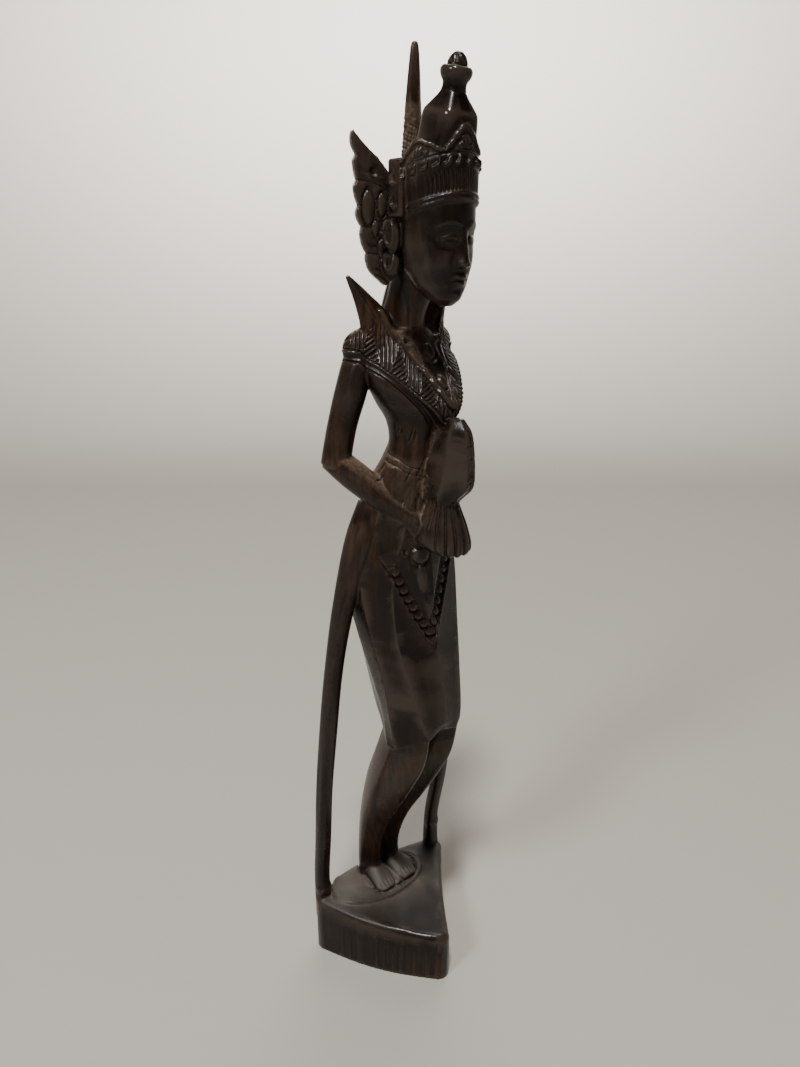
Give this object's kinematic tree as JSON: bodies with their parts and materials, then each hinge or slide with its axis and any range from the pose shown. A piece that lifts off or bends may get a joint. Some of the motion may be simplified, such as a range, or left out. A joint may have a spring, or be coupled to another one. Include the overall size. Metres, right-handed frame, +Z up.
{
  "type": "carved wooden figure of a crowned goddess",
  "caption": "Slender standing wooden figure with crown, winged headdress and sarong, hands raised at the waist, on a wedge base.",
  "frame": {"origin": "on the underside of the base, below the middle of the figure's overall box", "axes": "+Z up through the crown, -Y the way the figure faces, +X the figure's own left"},
  "size_m": [0.0632, 0.0482, 0.3],
  "materials": {
    "ebony": "dark wood, hand-carved and waxed to a satin polish, with brown streaks in the grain"
  },
  "bodies": {
    "root": {"statue": "ebony"}
  },
  "joints": []
}
